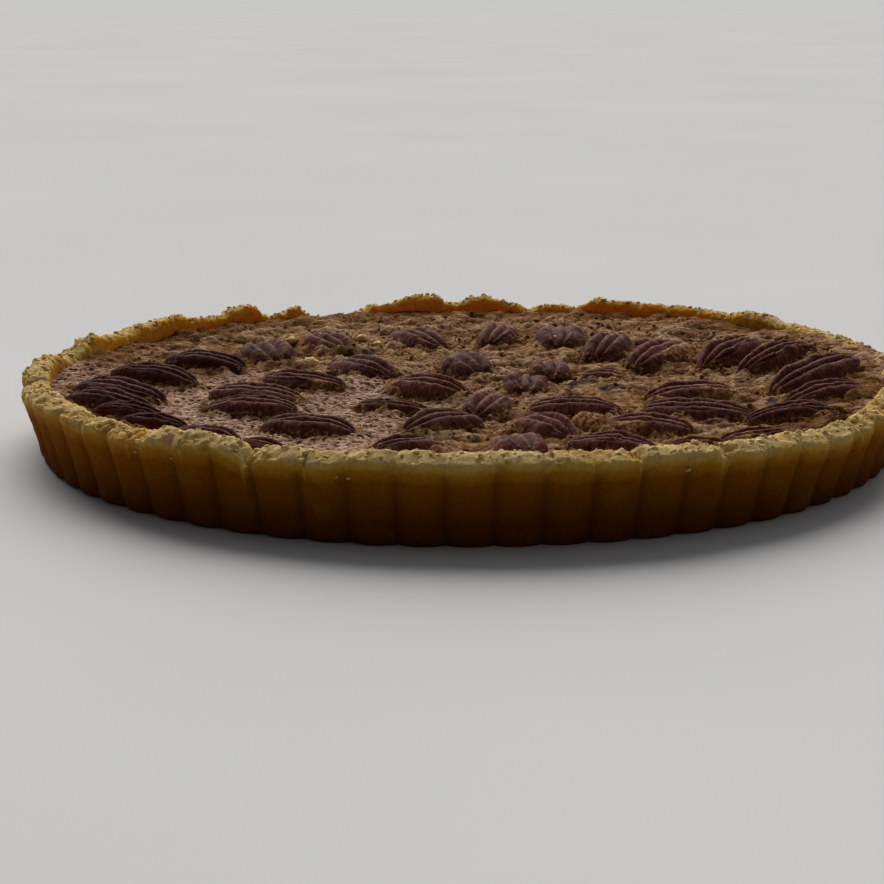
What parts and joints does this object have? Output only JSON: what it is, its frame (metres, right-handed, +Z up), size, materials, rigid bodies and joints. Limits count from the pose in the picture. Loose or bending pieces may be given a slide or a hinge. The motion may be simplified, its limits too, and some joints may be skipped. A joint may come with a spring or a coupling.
{
  "type": "pecan pie",
  "caption": "Round uncut pecan tart with a fluted shortcrust shell, a baked nut filling and pecan halves set round side up on top.",
  "frame": {"origin": "middle of the flat base, on the surface the tart stands on", "axes": "+Z up; -Y is the front, the side nearest the viewer; the tart is round about Z"},
  "size_m": [0.2796, 0.28, 0.0291],
  "materials": {
    "crust": "pale golden baked shortcrust, crumbly and matt",
    "filling": "baked nut filling, spongy and pitted, matt with slightly glossy skin",
    "pecan": "dark roasted pecan skin, wrinkled, with a soft sheen"
  },
  "bodies": {
    "root": {"crust": "crust", "filling": "filling", "pecan_01": "pecan", "pecan_02": "pecan", "pecan_03": "pecan", "pecan_04": "pecan", "pecan_05": "pecan", "pecan_06": "pecan", "pecan_07": "pecan", "pecan_08": "pecan", "pecan_09": "pecan", "pecan_10": "pecan", "pecan_11": "pecan", "pecan_12": "pecan", "pecan_13": "pecan", "pecan_14": "pecan", "pecan_15": "pecan", "pecan_16": "pecan", "pecan_17": "pecan", "pecan_18": "pecan", "pecan_19": "pecan", "pecan_20": "pecan", "pecan_21": "pecan", "pecan_22": "pecan", "pecan_23": "pecan", "pecan_24": "pecan", "pecan_25": "pecan", "pecan_26": "pecan", "pecan_27": "pecan", "pecan_28": "pecan", "pecan_29": "pecan", "pecan_30": "pecan", "pecan_31": "pecan", "pecan_32": "pecan", "pecan_33": "pecan", "pecan_34": "pecan", "pecan_35": "pecan", "pecan_36": "pecan", "pecan_37": "pecan", "pecan_38": "pecan", "pecan_39": "pecan", "pecan_40": "pecan", "pecan_41": "pecan", "pecan_42": "pecan", "pecan_43": "pecan", "pecan_44": "pecan", "pecan_45": "pecan"}
  },
  "joints": []
}
